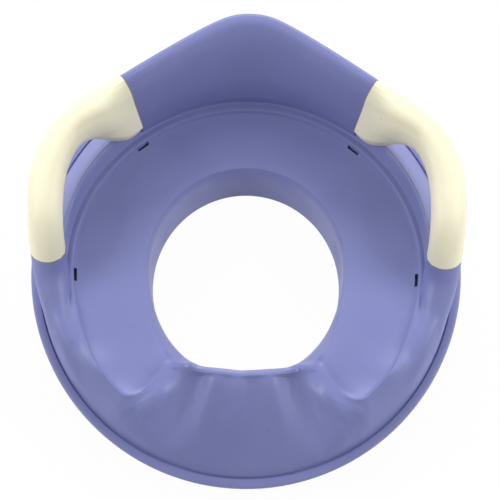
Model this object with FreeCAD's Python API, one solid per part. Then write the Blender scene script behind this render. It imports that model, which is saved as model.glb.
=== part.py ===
import FreeCAD, Part
import math
import os

V = FreeCAD.Vector
os.makedirs("parts", exist_ok=True)

# Plan of the seat. The lip is an oval round the origin, the hole sits a little forward of it.
lip_half_width = 186.0
lip_half_length = 195.0
lip_reach = 8.0
hole_centre_y = -12.0
hole_half_width = 82.0
hole_half_length = 88.0

# Levels above the lower end of the collar.
lip_bottom = 24.0
lip_top = 30.0
floor_level = 56.5
rim_level = 72.0

# Wall of the mouldings and the bead round the cushion recess.
wall = 2.8
collar_draft = 1.5
bead_height = 4.4
bead_inset = 33.5
bead_radius = lip_half_width - lip_reach - bead_inset

# Splash guard at the front of the hole, angles counted from straight ahead.
guard_rise = 26.0
guard_ridge_angle = 14.0
guard_end_angle = 34.0
hollow_bend = 1.6
recess_end_angle = 32.0
recess_full_angle = 38.5

# Backrest: a gable with a rounded top in plan, angles counted from straight behind.
gable_peak = 194.5
gable_slope = 0.61
gable_round = 20.0
backrest_top = 148.5
backrest_side_top = 133.0
backrest_end_angle = 37.5
crest_width = 20.0

# Armrest tube: its half sizes, how far its middle keeps inside the lip and above the rim at the
# middle of the grip, and the reach that its places from back to front are shares of.
tube_half_width = 14.6
tube_half_height = 14.2
tube_inset = 20.8
tube_rise = 35.0
arm_reach = 100.0
arm_foot_gap = 1.0

# Slots for the cushion's tongues.
slot_length = 11.5
slot_width = 2.6
slot_depth = 9.0
slot_inset = 2.6
slot_rear_angle = 140.0
slot_front_angle = 86.0

# Edge of the lip, and the dark seam where the moulding's foot drops into the base ring.
lip_round = 2.0
seam_width = 1.2
seam_depth = 1.4

# Rubber pads and screws on the underside.
pad_length = 40.0
pad_width = 12.0
pad_height = 3.5
pad_recess = 1.5
pad_inset = 14.0
base_screw_count = 6
base_screw_length = 14.0
screw_radius = 1.6
screw_head_radius = 3.4
screw_head_height = 2.2
bar_sides = 12

# Clearance round screws and between the collar and the ring.
fit_gap = 0.15


def ramp(value, start, end):
    """Smooth step from 0 at start to 1 at end."""
    t = min(1.0, max(0.0, (value - start) / (end - start)))
    return t * t * (3.0 - 2.0 * t)


def mix(a, b, t):
    return a + (b - a) * t


def oval_radius(half_width, half_length, centre_y, angle):
    """Distance from the hole's centre to an oval, along a line angle degrees off straight ahead."""
    dx = math.sin(math.radians(angle))
    dy = -math.cos(math.radians(angle))
    oy = hole_centre_y - centre_y
    a = (dx / half_width) ** 2 + (dy / half_length) ** 2
    b = 2.0 * oy * dy / half_length ** 2
    c = (oy / half_length) ** 2 - 1.0
    return (-b + math.sqrt(b * b - 4.0 * a * c)) / (2.0 * a)


def hole_radius(angle):
    return oval_radius(hole_half_width, hole_half_length, hole_centre_y, angle)


def crease_radius(angle):
    return oval_radius(lip_half_width - lip_reach, lip_half_length - lip_reach, 0.0, angle)


def gable_radius(angle):
    """Distance from the hole's centre to the outer line of the crest, angle off straight behind."""
    reach = gable_peak - hole_centre_y
    s = math.sin(math.radians(angle))
    c = math.cos(math.radians(angle))
    a = c * c - (gable_slope * s) ** 2
    b = -2.0 * reach * c
    d = reach ** 2 - (gable_slope * gable_round) ** 2
    return (-b - math.sqrt(b * b - 4.0 * a * d)) / (2.0 * a)


def polar(angle, radius, height):
    """Point at a radius from the hole's axis, angle degrees off straight ahead."""
    a = math.radians(angle)
    return V(radius * math.sin(a), hole_centre_y - radius * math.cos(a), height)


def knots(count, closed):
    if closed:
        return [1] * (count + 1), list(range(count + 1))
    degree = min(3, count - 1)
    inner = count - degree - 1
    return [degree + 1] + [1] * inner + [degree + 1], list(range(inner + 2))


def around_curve(points, angles):
    """Smooth closed curve through points at the given angles."""
    curve = Part.BSplineCurve()
    curve.interpolate(Points=points, PeriodicFlag=True, Parameters=angles + [360.0])
    return curve


def along_curve(points):
    """Smooth open curve that points draw without passing through all of them."""
    mults, values = knots(len(points), False)
    curve = Part.BSplineCurve()
    curve.buildFromPolesMultsKnots(points, mults, values, False, 3)
    return curve


def bands(rows, angles=None, closed_across=False):
    """Skin of bands side by side: smooth along the rows, straight across from point to point."""
    closed = angles is not None
    columns = [[row[i] for row in rows] for i in range(len(rows[0]))]
    lines = [around_curve(points, angles) if closed else along_curve(points) for points in columns]
    if closed_across:
        lines.append(lines[0])
    faces = []
    for first, second in zip(lines, lines[1:]):
        surface = Part.BSplineSurface()
        surface.buildFromPolesMultsKnots(
            [list(pair) for pair in zip(first.getPoles(), second.getPoles())],
            first.getMultiplicities(), [2, 2], first.getKnots(), [0, 1],
            closed, False, first.Degree, 1,
        )
        faces.append(surface.toShape())
    return faces


def loop(points, angles):
    """Closed wire through points, the same curve as the edge of a band."""
    return Part.Wire(around_curve(points, angles).toShape())


def flat_ring(outer, inner, angles):
    return Part.Face([loop(outer, angles), loop(inner, angles)])


def eased(points, steps, closed=False):
    """Points on the smooth curve that a row of control points draws, a few to each span."""
    mults, values = knots(len(points), closed)
    curve = Part.BSplineCurve()
    curve.buildFromPolesMultsKnots(points, mults, values, closed, 3)
    row = []
    for span, count in enumerate(steps):
        for i in range(count):
            row.append(curve.value(values[span] + (values[span + 1] - values[span]) * i / count))
    if not closed:
        row.append(points[-1])
    return row


def solid_from(faces):
    """Closed solid sewn from its skin."""
    shell = Part.makeShell(faces)
    shell.sewShape(0.01)
    shell.fix(0.01, 0.001, 0.01)
    solid = Part.Solid(shell if shell.ShapeType == "Shell" else shell.Shells[0])
    solid.fix(0.01, 0.001, 0.01)
    if solid.Volume < 0:
        solid.reverse()
    return solid


# Angles of the sections round the seat: close together where the recess ends beside the guard,
# and evenly spread for the plain ovals of the base ring.
half_angles = [0, 8, 14, 18.5, 22.5, 26.5, 30, 32.5, 34.5, 36.5, 39, 43, 51, 63, 77, 87, 96, 110, 131, 156]
section_angles = half_angles + [180] + [360 - a for a in reversed(half_angles[1:])]
ring_angles = list(range(0, 360, 15))


def around(profile, angles):
    """Profile points at each section angle, mirrored left and right."""
    return [[polar(a, r, z) for r, z in profile(min(a, 360.0 - a))] for a in angles]


def tube_solid(rows):
    """Solid along a row of closed sections, with flat ends."""
    ends = []
    for row in (rows[0], rows[-1]):
        ends.append(Part.Face(Part.makePolygon(row + row[:1])))
    return solid_from(bands(rows, closed_across=True) + ends)


# Upper surface in front of the hole, as the radius goes from the hole's edge (0) to the
# crease (1): the guard's slope, the hollows beside it and the shoulders outside those.
def front_height(angle, t):
    base = lip_top + 1.0
    slope = base + (floor_level + guard_rise + 2.0 - base) * (1.0 - t ** 1.5)
    hollow = base + (floor_level + guard_rise + 1.0 - base) * (1.0 - t) ** hollow_bend
    shoulder = base + (floor_level + 4.5 - base) * (1.0 - t ** 5.0)
    guard = 1.0 - ramp(angle, guard_ridge_angle + 3.0 * t, guard_ridge_angle + 5.5 + 3.0 * t)
    outside = ramp(angle, guard_end_angle - 7.5 - 2.5 * t, guard_end_angle - t)
    return mix(mix(hollow, slope, guard), shoulder, outside)


def edge_radius(angle):
    forward = mix(7.5, 13.5, ramp(angle, 6.0, 30.0))
    forward *= 1.0 - ramp(angle, 31.0, 72.0)
    return hole_radius(angle) + collar_draft + forward


def bead_line(angle):
    """Radius of the bead; it turns in to the hole's edge where the recess ends."""
    full = bead_radius + 2.0 * ramp(abs(angle - 90.0), 60.0, 10.0)
    full += 7.0 * (1.0 - ramp(angle, 46.0, 74.0)) - 5.0 * (1.0 - ramp(angle, 35.0, 43.0))
    return mix(edge_radius(angle) + 12.5, full, ramp(angle, recess_end_angle, recess_full_angle))


def rim_radius(angle):
    return bead_line(angle) + mix(7.0, 13.0, ramp(angle, 84.0, 128.0))


def rim_height(angle):
    return mix(rim_level - 7.0, rim_level, ramp(angle, 88.0, 112.0))


def seat_profile(angle):
    """Stations of the upper surface from the lower end of the collar out to the crease."""
    r_hole = hole_radius(angle)
    r_edge = edge_radius(angle)
    r_bead = bead_line(angle)
    r_crease = crease_radius(angle)
    in_recess = ramp(angle, recess_end_angle, recess_end_angle + 5.5)

    def ahead(radius):
        return front_height(angle, min(1.0, max(0.0, (radius - r_edge) / (r_crease - r_edge))))

    z_edge = mix(ahead(r_edge), floor_level + 0.5, in_recess)
    points = [
        (r_hole, 0.0),
        (r_hole + 0.5, 33.0),
        (mix(r_hole, r_edge, 0.7), mix(33.0, z_edge, 0.5)),
        (r_edge - 1.0, z_edge - 7.0),
        (r_edge + 0.5, z_edge - 0.5),
        (r_edge + 7.0, z_edge + 0.2),
    ]
    pan = r_bead - 4.5 - (r_edge + 7.0)
    for share, drop in ((0.4, 0.8), (0.8, 0.6)):
        radius = r_edge + 7.0 + pan * share
        points.append((radius, mix(ahead(radius), floor_level - drop, in_recess)))

    # The bead stands on the outer edge of the recess and widens where it turns in.
    spread = 1.0 + 1.2 * ramp(angle, 26.0, 34.0) * (1.0 - ramp(angle, 36.0, 46.0))
    bead = ((-3.6, 0.0), (-1.8, 0.4), (-1.2, bead_height), (1.8, bead_height + 0.5), (4.5, bead_height - 1.0))
    for offset, rise in bead:
        radius = r_bead + offset * (spread if offset > 0.0 else 1.0)
        outside = ahead(radius) if offset > 0.0 else floor_level + rise
        height = mix(floor_level + rise, outside, 1.0 - ramp(angle, 44.0, 60.0))
        points.append((radius, mix(ahead(radius), height, in_recess)))

    # Three ways outward from the bead: shoulder ahead, armrest ridge beside, raised rim behind.
    r_out = points[-1][0]
    shoulder = []
    for share in (0.25, 0.5, 0.72, 0.9, 0.985):
        radius = mix(r_out, r_crease, share)
        shoulder.append((radius, ahead(radius)))
    r_ridge = r_crease - 12.5
    z_ridge = mix(floor_level + 1.5, rim_level - 1.0, ramp(angle, 52.0, 90.0))
    ridge = [
        (r_out + 1.0, floor_level + 4.0),
        (mix(r_out, r_ridge, 0.5), mix(floor_level + 4.0, z_ridge, 0.55)),
        (r_ridge - 1.0, z_ridge),
        (r_ridge + 6.0, z_ridge - 2.0),
        (r_crease - 0.5, mix(z_ridge, lip_top, 0.5)),
    ]
    r_rim = rim_radius(angle)
    z_rim = rim_height(angle)
    rim = [
        (mix(r_out, r_rim, 0.5), mix(floor_level + bead_height, z_rim, 0.45)),
        (r_rim - 2.0, z_rim),
        (r_rim + 1.5, z_rim + 0.8),
        (r_rim + 4.0, z_rim - 5.0),
        (mix(r_rim, r_crease, 0.85), mix(z_rim, lip_top, 0.6)),
    ]
    to_ridge = ramp(angle, 44.0, 66.0)
    to_rim = ramp(angle, 89.0, 102.0)
    for a, b, c in zip(shoulder, ridge, rim):
        radius = mix(mix(a[0], b[0], to_ridge), c[0], to_rim)
        points.append((radius, mix(mix(a[1], b[1], to_ridge), c[1], to_rim)))
    points.append((r_crease, lip_top + 3.0))
    points.append((r_crease, lip_top - seam_depth))
    return points


def seat_body():
    steps = (3, 1, 1, 2, 1, 1, 1, 1, 1, 2, 1, 1, 1, 2, 2, 1, 1)
    upper = [eased(row, steps) for row in around(seat_profile, section_angles)]
    foot = lip_top - seam_depth
    collar = around(lambda a: [(hole_radius(a) + wall, 0.0), (hole_radius(a) + wall, foot)], section_angles)
    faces = bands(upper, section_angles) + bands(collar, section_angles)
    faces.append(flat_ring([row[0] for row in collar], [row[0] for row in upper], section_angles))
    faces.append(flat_ring([row[-1] for row in upper], [row[1] for row in collar], section_angles))
    return solid_from(faces)


body = seat_body()


# Spans of a closed section: single where it is nearly straight, split where it turns.
section_steps = (1, 1, 1, 1, 2, 2, 2, 2, 1, 1, 1, 1, 1)


# Backrest: one wall that leans back from the bead, with a rounded crest that follows the gable.
def backrest_section(angle):
    from_front = 180.0 - abs(angle)
    share = (abs(angle) / backrest_end_angle) ** 1.3
    r_back = gable_radius(angle) + 1.0
    r_crest = r_back - crest_width + 2.0 * share
    r_foot = bead_line(from_front) + 5.0
    r_lip = crease_radius(from_front) - 4.0
    z_crest = mix(backrest_top, backrest_side_top, share)
    low = lip_top + 4.0
    return [
        (r_foot + 8.0, low),
        (r_foot + 2.0, 52.0),
        (r_foot, 70.0),
        (mix(r_foot, r_crest, 0.25), 92.0),
        (mix(r_foot, r_crest, 0.75), z_crest - 20.0),
        (r_crest - 2.0, z_crest - 9.0),
        (r_crest + 5.0, z_crest + 2.0),
        (r_back - 6.0, z_crest + 5.5),
        (r_back + 0.5, z_crest - 3.0),
        (mix(r_back, r_lip, 0.25) + 1.0, z_crest - 24.0),
        (mix(r_back, r_lip, 0.7), 84.0),
        (r_lip, 58.0),
        (r_lip - 1.0, low),
    ]


def backrest_solid(end_angle):
    rows = []
    for share in (-1, -0.85, -0.7, -0.55, -0.4, -0.25, -0.1, 0.1, 0.25, 0.4, 0.55, 0.7, 0.85, 1):
        angle = end_angle * share
        rows.append([polar(180.0 - angle, r, z) for r, z in backrest_section(angle)])
    return tube_solid([eased(row, section_steps, closed=True) for row in rows])


# Armrest: its first section is the upper part of the backrest's end, then it narrows to a tube
# that bends forward and drops on to the horn. Written for the left side and mirrored.
def tube_section(inward_shift, y, rise, heading, wider, higher):
    centre = V(tube_inset - lip_half_width, 0, rim_level + tube_rise)
    centre += V(inward_shift, y, rise) * arm_reach
    half_width = tube_half_width + wider * arm_reach
    half_height = tube_half_height + higher * arm_reach
    ahead = V(*heading).normalize()
    inward = V(0, 0, 1).cross(ahead).normalize()
    upward = ahead.cross(inward).normalize()
    count = 13
    grow = 3.0 / (2.0 + math.cos(2.0 * math.pi / count))
    row = []
    for i in range(count):
        turn = 2.0 * math.pi * (i + 0.5) / count
        across = half_width * grow * math.sin(turn)
        up = -half_height * grow * math.cos(turn)
        row.append(centre + inward * across + upward * up)
    return row


def arm_root(angle):
    section = backrest_section(angle)
    low = rim_level + arm_foot_gap
    r_foot = section[2][0]
    r_back = section[10][0]
    section[0] = (r_foot + 13.0, low)
    section[1] = (r_foot + 1.5, low)
    section[2] = (r_foot - 0.5, low + 6.0)
    section[10] = (r_back + 0.5, low + 16.0)
    section[11] = (r_back - 1.0, low + 4.0)
    section[12] = (r_back - 8.0, low)
    return [polar(180.0 + angle, r, z) for r, z in section]


# Each section of the tube, in shares of the armrest's reach: how far its middle lies inward of
# the grip's side, its place front to back, its height over the grip's level, its heading, and
# what it is wider and higher than the grip.
arm_path = (
    (0.46, 1.035, -0.04, (-0.80, -0.60, 0.0), 0.038, 0.155),
    (0.325, 0.975, 0.005, (-0.78, -0.63, 0.0), 0.014, 0.095),
    (0.185, 0.88, 0.06, (-0.70, -0.71, 0.0), 0.0, 0.012),
    (0.092, 0.73, 0.06, (-0.45, -0.89, -0.03), 0.0, 0.0),
    (0.02, 0.5, 0.035, (-0.20, -0.97, -0.10), 0.0, 0.0),
    (0.0, 0.24, 0.0, (-0.02, -0.97, -0.20), 0.0, 0.0),
    (0.002, 0.08, -0.05, (0.0, -0.86, -0.50), 0.0, 0.0),
    (0.006, -0.035, -0.15, (0.0, -0.60, -0.80), 0.0, 0.0),
)
arm_end = (0.009, -0.095, -0.27, (-0.03, -0.38, -0.92), 0.0, 0.0)
horn_path = (
    (0.012, -0.14, -0.36, (0.0, -0.42, -0.91), 0.004, 0.008),
    (0.025, -0.225, -0.435, (0.04, -0.62, -0.78), 0.006, 0.015),
    (0.05, -0.36, -0.495, (0.12, -0.80, -0.58), -0.004, 0.01),
    (0.095, -0.55, -0.57, (0.20, -0.88, -0.42), -0.02, 0.0),
    (0.145, -0.78, -0.66, (0.28, -0.90, -0.30), -0.05, -0.03),
)


def arm_solid():
    rows = [arm_root(backrest_end_angle)] + [tube_section(*place) for place in arm_path + (arm_end,)]
    return tube_solid([eased(row, section_steps, closed=True) for row in rows])


def horn_solid():
    rows = [tube_section(*place) for place in (arm_end,) + horn_path]
    return tube_solid([eased(row, section_steps, closed=True) for row in rows])


def mirrored(shape):
    return shape.mirror(V(0, 0, 0), V(1, 0, 0))


# Slots on the inner side of the bead, where the cushion's tongues clip in.
def slot(angle):
    cutter = Part.makeBox(slot_length, slot_width, slot_depth)
    cutter.translate(V(-0.5 * slot_length, -0.5 * slot_width, -slot_depth))
    cutter.rotate(V(0, 0, 0), V(0, 0, 1), angle)
    cutter.translate(polar(angle, bead_line(min(angle, 360.0 - angle)) - slot_inset, floor_level + 2.5))
    return cutter


# Screw with a round head below and its shank going up, as bars with a few flat sides.
def bar(radius, height, x, y, bottom):
    corners = []
    for i in range(bar_sides + 1):
        turn = 2.0 * math.pi * i / bar_sides
        corners.append(V(x + radius * math.cos(turn), y + radius * math.sin(turn), bottom))
    return Part.Face(Part.makePolygon(corners)).extrude(V(0, 0, height))


def screw(x, y, head_bottom, length):
    head = bar(screw_head_radius, screw_head_height, x, y, head_bottom)
    shank = bar(screw_radius, length, x, y, head_bottom + screw_head_height)
    return head.fuse(shank)


def screw_hole(x, y, mouth, head_bottom, length):
    well = bar(screw_head_radius + fit_gap, head_bottom + screw_head_height - mouth, x, y, mouth)
    bore = bar(screw_radius + fit_gap, length + 1.0, x, y, head_bottom + screw_head_height)
    return well.fuse(bore)


base_screw_places = []
for step in range(base_screw_count):
    turn = 360.0 * (step + 0.5) / base_screw_count
    place = polar(turn, 0.5 * (hole_radius(turn) + crease_radius(min(turn, 360.0 - turn))), 0.0)
    base_screw_places.append((place.x, place.y))
base_head_bottom = lip_bottom + 0.8
base_holes = [screw_hole(x, y, lip_bottom, base_head_bottom, base_screw_length) for x, y in base_screw_places]

horn = horn_solid()
shell = body.fuse([backrest_solid(backrest_end_angle), horn, mirrored(horn)])
for angle in (slot_rear_angle, slot_front_angle):
    shell = shell.cut([slot(angle), slot(360.0 - angle)])
shell = shell.cut(base_holes)

# Ring that closes the underside and carries the lip, screwed to the moulding from below.
def lip_section(angle):
    r_lip = oval_radius(lip_half_width, lip_half_length, 0.0, angle)
    r_seam = crease_radius(angle) + seam_width
    edge = 0.3 * lip_round
    return [
        (hole_radius(angle) + wall + 2.0 * fit_gap, lip_bottom),
        (hole_radius(angle) + wall + 2.0 * fit_gap, lip_top - seam_depth),
        (r_seam, lip_top - seam_depth),
        (r_seam, lip_top),
        (r_lip - lip_round, lip_top),
        (r_lip - edge, lip_top - edge),
        (r_lip, lip_top - lip_round),
        (r_lip, lip_bottom + 0.5 * lip_round),
        (r_lip - 0.5 * lip_round, lip_bottom),
    ]


def ring_of(section):
    """Solid ring of a closed section of straight lines; level stretches are plane faces."""
    rows = around(section, ring_angles)
    faces = []
    for i, face in enumerate(bands(rows, ring_angles, closed_across=True)):
        here = [row[i] for row in rows]
        there = [row[(i + 1) % len(row)] for row in rows]
        if abs(here[0].z - there[0].z) < 1e-6:
            outer, inner = sorted((here, there), key=lambda line: line[0].y)
            face = flat_ring(outer, inner, ring_angles)
        faces.append(face)
    return solid_from(faces)


base = ring_of(lip_section).cut(base_holes)

# Rubber pads with cut corners under the ring, let half into its underside.
def pad_outline():
    corners = []
    cut = 0.3 * pad_width
    for x, y in ((1, 1), (-1, 1), (-1, -1), (1, -1)):
        ends = (
            V(x * (0.5 * pad_length - cut), y * 0.5 * pad_width, 0.0),
            V(x * 0.5 * pad_length, y * (0.5 * pad_width - cut), 0.0),
        )
        corners += ends if x * y < 0 else reversed(ends)
    return Part.Face(Part.makePolygon(corners + corners[:1]))


pads = {}
for angle, name in ((40.0, "front_right"), (140.0, "rear_right"), (220.0, "rear_left"), (320.0, "front_left")):
    pad = pad_outline().extrude(V(0, 0, pad_height))
    pad.rotate(V(0, 0, 0), V(0, 0, 1), angle)
    radius = crease_radius(min(angle, 360.0 - angle)) - pad_inset
    pad.translate(polar(angle, radius, lip_bottom - pad_height + pad_recess))
    pads[name] = pad
    base = base.cut(pad)

arm = arm_solid()
base_screws = [screw(x, y, base_head_bottom, base_screw_length) for x, y in base_screw_places]
shell.exportStep("parts/seat_shell.step")
base.exportStep("parts/base_ring.step")
arm.exportStep("parts/left_armrest.step")
mirrored(arm).exportStep("parts/right_armrest.step")
for name, pad in pads.items():
    pad.exportStep("parts/grip_pad_" + name + ".step")
Part.makeCompound(base_screws).exportStep("parts/base_screws.step")
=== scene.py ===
import math

import bmesh
import bpy
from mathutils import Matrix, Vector


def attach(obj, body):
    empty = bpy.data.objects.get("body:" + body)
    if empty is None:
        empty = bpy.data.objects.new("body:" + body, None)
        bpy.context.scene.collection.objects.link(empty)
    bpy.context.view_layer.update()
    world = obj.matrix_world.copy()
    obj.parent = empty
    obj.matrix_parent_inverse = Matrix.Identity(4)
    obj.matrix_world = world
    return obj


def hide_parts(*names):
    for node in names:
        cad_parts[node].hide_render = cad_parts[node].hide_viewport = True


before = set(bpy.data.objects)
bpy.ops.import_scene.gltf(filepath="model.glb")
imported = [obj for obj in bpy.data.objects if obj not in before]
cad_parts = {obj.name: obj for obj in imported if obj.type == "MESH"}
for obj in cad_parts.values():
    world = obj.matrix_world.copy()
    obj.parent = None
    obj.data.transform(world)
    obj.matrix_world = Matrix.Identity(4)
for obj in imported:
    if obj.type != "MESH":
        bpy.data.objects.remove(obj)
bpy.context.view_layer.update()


# Camera: a product picture taken from high in front of the seat, looking down into it at
# about 70 degrees. The camera stands less than a degree to the right of the seat's middle line
# and leans by less than half a degree.
look_at = Vector((0.0, 0.0, 0.045))
camera_elevation = math.radians(70.0)
camera_azimuth = math.radians(0.65)
camera_lean = math.radians(0.4)
camera_distance = 1.2
camera = bpy.data.objects.new("camera", bpy.data.cameras.new("camera"))
bpy.context.collection.objects.link(camera)
camera.location = look_at + camera_distance * Vector((
    math.sin(camera_azimuth) * math.cos(camera_elevation),
    -math.cos(camera_azimuth) * math.cos(camera_elevation),
    math.sin(camera_elevation),
))
camera.rotation_euler = (look_at - camera.location).to_track_quat("-Z", "Y").to_euler()
camera.rotation_euler.rotate_axis("Z", camera_lean)
camera.data.lens = 101.0
camera.data.sensor_width = 36.0
camera.data.shift_x = 0.0076
camera.data.shift_y = 0.0155
bpy.context.scene.camera = camera
bpy.context.scene.view_settings.view_transform = "Standard"


# Shader sums are written as plain Python: a Value stands for a node's socket, and a Finish is
# a material. Its method node adds any node and hands back an output as a Value, and its other
# methods are short forms of that.
class Value:
    def __init__(self, finish, socket):
        self.finish = finish
        self.socket = socket

    def sum_with(self, operation, first, second):
        return self.finish.node("ShaderNodeMath", {"operation": operation}, {0: first, 1: second})

    def __add__(self, other):
        return self.sum_with("ADD", self, other)

    def __radd__(self, other):
        return self.sum_with("ADD", other, self)

    def __sub__(self, other):
        return self.sum_with("SUBTRACT", self, other)

    def __rsub__(self, other):
        return self.sum_with("SUBTRACT", other, self)

    def __mul__(self, other):
        return self.sum_with("MULTIPLY", self, other)

    def __rmul__(self, other):
        return self.sum_with("MULTIPLY", other, self)


class Finish:
    def __init__(self, name):
        self.material = bpy.data.materials.new(name)
        self.material.use_nodes = True
        self.tree = self.material.node_tree
        self.tree.nodes.clear()

    def node(self, kind, settings=None, inputs=None, output=0):
        made = self.tree.nodes.new(kind)
        for name, value in (settings or {}).items():
            setattr(made, name, value)
        for name, value in (inputs or {}).items():
            if isinstance(value, Value):
                self.tree.links.new(value.socket, made.inputs[name])
            else:
                made.inputs[name].default_value = value
        return Value(self, made.outputs[output]) if len(made.outputs) else None

    def step(self, value, start, end):
        """0 below start and 1 above end, with a smooth rise between."""
        return self.node("ShaderNodeMapRange", {"interpolation_type": "SMOOTHSTEP"},
                         {"Value": value, "From Min": start, "From Max": end})

    def blend(self, share, first, second):
        """A colour between two colours."""
        return self.node("ShaderNodeMix", {"data_type": "RGBA"}, {0: share, 6: first, 7: second}, 2)

    def noise(self, place, scale, detail=2.0, roughness=0.5):
        return self.node("ShaderNodeTexNoise", {}, {
            "Vector": place, "Scale": scale, "Detail": detail, "Roughness": roughness})

    def finished(self, shader):
        self.node("ShaderNodeOutputMaterial", {}, {"Surface": shader})
        return self.material


# Floor: a white paper sweep, so pale that the picture shows only a trace of the seat's shadow.
# The camera and mirror rays see nearly all of it as plain white, and light falls on it as on paper.
paper = Finish("white_paper")
ray = "ShaderNodeLightPath"
seen = paper.node(ray, output="Is Camera Ray") + paper.node(ray, output="Is Glossy Ray")
plain_share = seen * 0.97
plain_white = paper.node("ShaderNodeEmission", {}, {"Color": (1.0, 1.0, 1.0, 1.0), "Strength": 1.0})
matte_white = paper.node("ShaderNodeBsdfDiffuse", {}, {"Color": (0.86, 0.86, 0.87, 1.0)})
paper_look = paper.node("ShaderNodeMixShader", {}, {0: plain_share, 1: matte_white, 2: plain_white})
bpy.ops.object.select_all(action="DESELECT")
bpy.ops.mesh.primitive_plane_add(size=12.0, location=(0.0, 0.0, -0.0005))
floor = bpy.context.object
floor.name = "floor"
floor.data.materials.append(paper.finished(paper_look))


# Light: a soft box low behind the seat, so that the backrest shades itself and the rear of the
# recess, a soft box to each side that the armrests shade the recess from, and a white room.
# The room is seen as white as the paper, and lights the seat with a third of that.
room = bpy.data.worlds.new("room")
bpy.context.scene.world = room
room.use_nodes = True
room_nodes = room.node_tree.nodes
room_light = room_nodes["Background"]
room_light.inputs["Color"].default_value = (1.0, 1.0, 1.0, 1.0)
room_light.inputs["Strength"].default_value = 0.355
room_seen = room_nodes.new("ShaderNodeBackground")
room_seen.inputs["Color"].default_value = (1.0, 1.0, 1.0, 1.0)
room_ray = room_nodes.new(ray)
room_look = room_nodes.new("ShaderNodeMixShader")
room.node_tree.links.new(room_ray.outputs["Is Camera Ray"], room_look.inputs[0])
room.node_tree.links.new(room_light.outputs[0], room_look.inputs[1])
room.node_tree.links.new(room_seen.outputs[0], room_look.inputs[2])
room.node_tree.links.new(room_look.outputs[0], room_nodes["World Output"].inputs["Surface"])


def soft_box(name, place, size, power):
    lamp = bpy.data.objects.new(name, bpy.data.lights.new(name, "AREA"))
    bpy.context.collection.objects.link(lamp)
    lamp.data.shape = "RECTANGLE"
    lamp.data.size, lamp.data.size_y = size
    lamp.data.energy = power
    lamp.location = place
    lamp.rotation_euler = (look_at - lamp.location).to_track_quat("-Z", "Y").to_euler()


soft_box("rear", Vector((0.0, 1.2, 0.9)), (0.5, 0.4), 11.7)
soft_box("left_side", Vector((-1.2, 0.0, 0.9)), (0.8, 0.8), 11.2)
soft_box("right_side", Vector((1.2, 0.0, 0.9)), (0.8, 0.8), 11.2)


# Seat moulding: the ring with its recess and splash guard, the hollow backrest and the two
# horns, one injection moulding in violet blue polypropylene with a fine satin grain. Its front
# is worked over here, from the CAD node's own skin.
def plastic(name, pale, deep, grain, smudge, seam_shadow_mask=None):
    """Satin plastic: uneven tint, moulded grain, and smudges that change only its gloss.
    A seam shadow mask hands back the share of painted shadow in a seam's gap at each place."""
    look = Finish(name)
    place = look.node("ShaderNodeTexCoord", output="Object")
    cloud = look.noise(place, 9.0, 3.0)
    mottle = look.noise(place, 140.0, 4.0, 0.6)
    specks = look.step(look.noise(place, 260.0, 1.0), 0.775, 0.80)
    tint = look.blend(look.step(cloud * 0.8 + mottle * 0.2, 0.35, 0.65), deep, pale)
    tint = look.blend(specks * 0.22, tint, (0.10, 0.07, 0.08, 1.0))
    if seam_shadow_mask is not None:
        # Painted shadow: the tint darkens along the seams, where shade falls in the gap between parts.
        painted_seam_shadow = (0.13, 0.11, 0.14, 1.0)
        tint = look.blend(seam_shadow_mask(look, place) * 0.85, tint, painted_seam_shadow)
    rubbed = look.step(look.noise(place, 22.0, 5.0, 0.65), 0.46, 0.70)
    roughness = 0.40 + rubbed * smudge + mottle * 0.06
    skin = look.noise(place, 1900.0, 2.0, 0.6)
    dimples = look.node("ShaderNodeBump", {}, {
        "Strength": grain, "Distance": 0.00012, "Height": skin})
    swell = look.noise(place, 26.0, 1.0)
    waves = look.node("ShaderNodeBump", {}, {
        "Strength": 0.06, "Distance": 0.0012, "Height": swell, "Normal": dimples})
    shader = look.node("ShaderNodeBsdfPrincipled", {}, {
        "Base Color": tint, "Roughness": roughness, "Normal": waves, "IOR": 1.47})
    return look.finished(shader)


blue_plastic = plastic(
    "blue_plastic", pale=(0.206, 0.226, 0.485, 1.0), deep=(0.192, 0.209, 0.455, 1.0),
    grain=0.10, smudge=0.10)
facet_gap = 0.00002


def smooth(part):
    """Joins the loose facets of a solid and shades it as one skin, except at its real edges."""
    weld = part.modifiers.new("join facets", "WELD")
    weld.merge_threshold = facet_gap
    split = part.modifiers.new("keep edges", "EDGE_SPLIT")
    split.split_angle = math.radians(34.0)
    shade = part.modifiers.new("even shading", "WEIGHTED_NORMAL")
    shade.mode = "CORNER_ANGLE"
    shade.keep_sharp = False


def finish_node(node, material):
    """Shades a CAD node that stays as it is, and gives it its material."""
    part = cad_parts[node]
    smooth(part)
    for holder in part.material_slots:
        holder.material = material


def open_copy(name, node):
    """A copy of a CAD node's skin with its facets joined, open to be worked over."""
    piece = bpy.data.objects.new(name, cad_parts[node].data.copy())
    bpy.context.collection.objects.link(piece)
    bpy.ops.object.select_all(action="DESELECT")
    piece.select_set(True)
    bpy.context.view_layer.objects.active = piece
    bpy.ops.object.mode_set(mode="EDIT")
    bpy.ops.mesh.select_all(action="SELECT")
    bpy.ops.mesh.remove_doubles(threshold=facet_gap)
    return piece


def select_points(piece, wanted):
    """Selects those of the piece's points in sight that are wanted."""
    bpy.ops.mesh.select_all(action="DESELECT")
    skin = bmesh.from_edit_mesh(piece.data)
    for point in skin.verts:
        point.select = not point.hide and wanted(point)
    bmesh.update_edit_mesh(piece.data)
    return skin


def drag(piece, distance, shift, reach):
    """Moves the point at the least distance, and the skin around it with a soft edge."""
    bpy.ops.mesh.select_all(action="DESELECT")
    skin = bmesh.from_edit_mesh(piece.data)
    nearest = min((point for point in skin.verts if not point.hide), key=distance)
    nearest.select = True
    bmesh.update_edit_mesh(piece.data)
    bpy.ops.transform.translate(
        value=shift, use_proportional_edit=True,
        proportional_edit_falloff="SMOOTH", proportional_size=reach)


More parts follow.
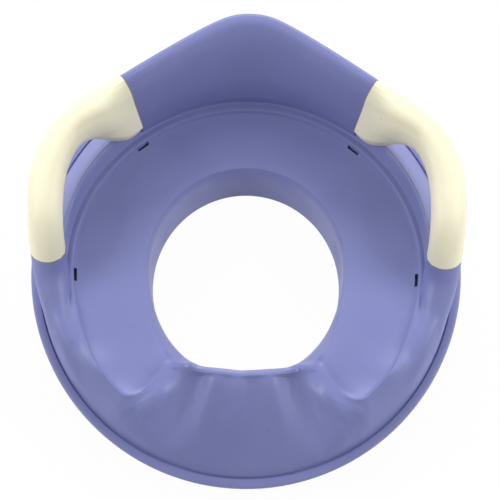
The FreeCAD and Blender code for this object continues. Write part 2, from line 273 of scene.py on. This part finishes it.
def close_copy(piece, material):
    """Ends the work on a piece: its shading is applied and it has the one material."""
    bpy.ops.object.mode_set(mode="OBJECT")
    smooth(piece)
    for modifier in ("join facets", "keep edges", "even shading"):
        bpy.ops.object.modifier_apply(modifier=modifier)
    piece.data.materials.clear()
    piece.data.materials.append(material)


# What lies lower than the skin's foot on the lip is hidden first, so that nothing moves it.
moulding = open_copy("seat_moulding", "seat_shell")
lip_top = 0.0292
below_lip = select_points(moulding, lambda point: point.co.z < lip_top)
below_lip.select_flush_mode()
bpy.ops.mesh.hide(unselected=False)


def pull(x, y, rise, reach):
    """Lifts the skin over a place, on the left and on the right, where it faces upwards."""
    for side in (-1.0, 1.0):
        def distance(point):
            if point.normal.z <= 0.1:
                return math.inf
            return math.hypot(point.co.x - side * x, point.co.y - y)
        drag(moulding, distance, (0.0, 0.0, rise), reach)


# The scoops beside the splash guard end in a rounded foot before the lip.
pull(0.066, -0.158, 0.0100, 0.030)
pull(0.056, -0.139, 0.0060, 0.028)
pull(0.047, -0.122, 0.0040, 0.022)

# The shoulders outside them stay full nearly to the lip.
pull(0.100, -0.132, 0.0045, 0.030)
pull(0.122, -0.107, 0.0035, 0.030)


# The scoops and shoulders run softly into one another, except beside the recess's end.
def in_scoop(point):
    x, y, z = abs(point.co.x), point.co.y, point.co.z
    off_recess_end = math.hypot(x - 0.094, y + 0.118)
    return x > 0.042 and y < -0.112 and z > 0.031 and off_recess_end > 0.020


# The guard's two upper corners are rounded over softly.
def at_guard_corner(point):
    off_corner = math.hypot(abs(point.co.x) - 0.056, point.co.y + 0.104)
    return off_corner < 0.014 and point.co.z > 0.048


for region, rounds in ((in_scoop, 8), (at_guard_corner, 5)):
    select_points(moulding, region)
    bpy.ops.mesh.vertices_smooth(factor=0.5, repeat=rounds)
bpy.ops.mesh.reveal()
close_copy(moulding, blue_plastic)
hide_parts("seat_shell")
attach(moulding, "root")


# Base ring: a second blue moulding that closes the underside. Its edge stands out as the lip
# all round the seat, with a dark seam where the two meet.
finish_node("base_ring", blue_plastic)


# Armrests: two hollow cream polypropylene tubes. Each grows out of the backrest's end, bends
# forward and plugs on to the horn, with a fine seam at both ends and painted shadow along each seam.
def seam_shadow_line(look, place):
    """Share of painted seam shadow: 1 along the last millimetre before the backrest's end and
    before the horn's end, each of which is a plane that faces the armrest."""
    x, y, z = [look.node("ShaderNodeSeparateXYZ", {}, {0: place}, output=i) for i in range(3)]
    across = look.node("ShaderNodeMath", {"operation": "ABSOLUTE"}, {0: x})
    back_facing = (0.7934, -0.6088)
    from_back = across * back_facing[0] + (y + 0.012) * back_facing[1]
    horn_end = (0.1643, -0.0095, 0.080)
    horn_facing = (-0.0301, 0.3816, 0.9239)
    over_horn = (z - horn_end[2]) * horn_facing[2]
    from_horn = (across - horn_end[0]) * horn_facing[0] + (y - horn_end[1]) * horn_facing[1] + over_horn
    dark_to, clear_from = 0.0005, 0.0014
    off_back = look.step(from_back, dark_to, clear_from)
    return 1.0 - off_back * look.step(from_horn, dark_to, clear_from)


cream_plastic = plastic(
    "cream_plastic", pale=(0.895, 0.855, 0.645, 1.0), deep=(0.865, 0.822, 0.61, 1.0),
    grain=0.07, smudge=0.08, seam_shadow_mask=seam_shadow_line)

# The root is filled up behind and drawn down to the rim, along the plane of its seam, and the
# bend is drawn a little outwards. The rows say where on the right armrest, which way, how wide.
drags = (
    ((0.132, 0.118, 0.112), (0.0022, 0.0028, 0.0), 0.030),
    ((0.118, 0.122, 0.118), (0.0011, 0.0014, 0.0), 0.016),
    ((0.178, 0.055, 0.105), (0.0018, 0.0004, 0.0), 0.050),
    ((0.108, 0.098, 0.076), (-0.0035, -0.0046, -0.0030), 0.030),
)
for side, name in ((-1.0, "left_armrest"), (1.0, "right_armrest")):
    tube = open_copy(name + "_tube", name)
    for (x, y, z), (right, back, up), reach in drags:
        middle = Vector((side * x, y, z))
        drag(tube, lambda point: (point.co - middle).length, (side * right, back, up), reach)
    close_copy(tube, cream_plastic)
    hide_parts(name)
    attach(tube, "root")


# Grip pads: soft dark rubber strips under the base ring that stop the seat from sliding.
rubber = Finish("grip_rubber")
rubber_place = rubber.node("ShaderNodeTexCoord", output="Object")
rubber_grain = rubber.noise(rubber_place, 900.0, 3.0)
dust = rubber.step(rubber.noise(rubber_place, 60.0, 4.0), 0.45, 0.75)
rubber_tint = rubber.blend(dust, (0.035, 0.035, 0.04, 1.0), (0.085, 0.083, 0.082, 1.0))
rubber_bump = rubber.node("ShaderNodeBump", {}, {
    "Strength": 0.25, "Distance": 0.0003, "Height": rubber_grain})
rubber_look = rubber.node("ShaderNodeBsdfPrincipled", {}, {
    "Base Color": rubber_tint, "Roughness": 0.75 + dust * 0.12, "Normal": rubber_bump})
rubber_black = rubber.finished(rubber_look)
for corner in ("front_left", "front_right", "rear_left", "rear_right"):
    finish_node("grip_pad_" + corner, rubber_black)


# Screws: six short plated pan heads, sunk in wells under the base ring.
steel = Finish("screw_steel")
steel_place = steel.node("ShaderNodeTexCoord", output="Object")
tarnish = steel.step(steel.noise(steel_place, 400.0, 4.0), 0.4, 0.7)
steel_tint = steel.blend(tarnish, (0.62, 0.62, 0.63, 1.0), (0.46, 0.45, 0.43, 1.0))
steel_look = steel.node("ShaderNodeBsdfPrincipled", {}, {
    "Base Color": steel_tint, "Roughness": 0.28 + tarnish * 0.25, "Metallic": 1.0})
plated_steel = steel.finished(steel_look)
finish_node("base_screws", plated_steel)
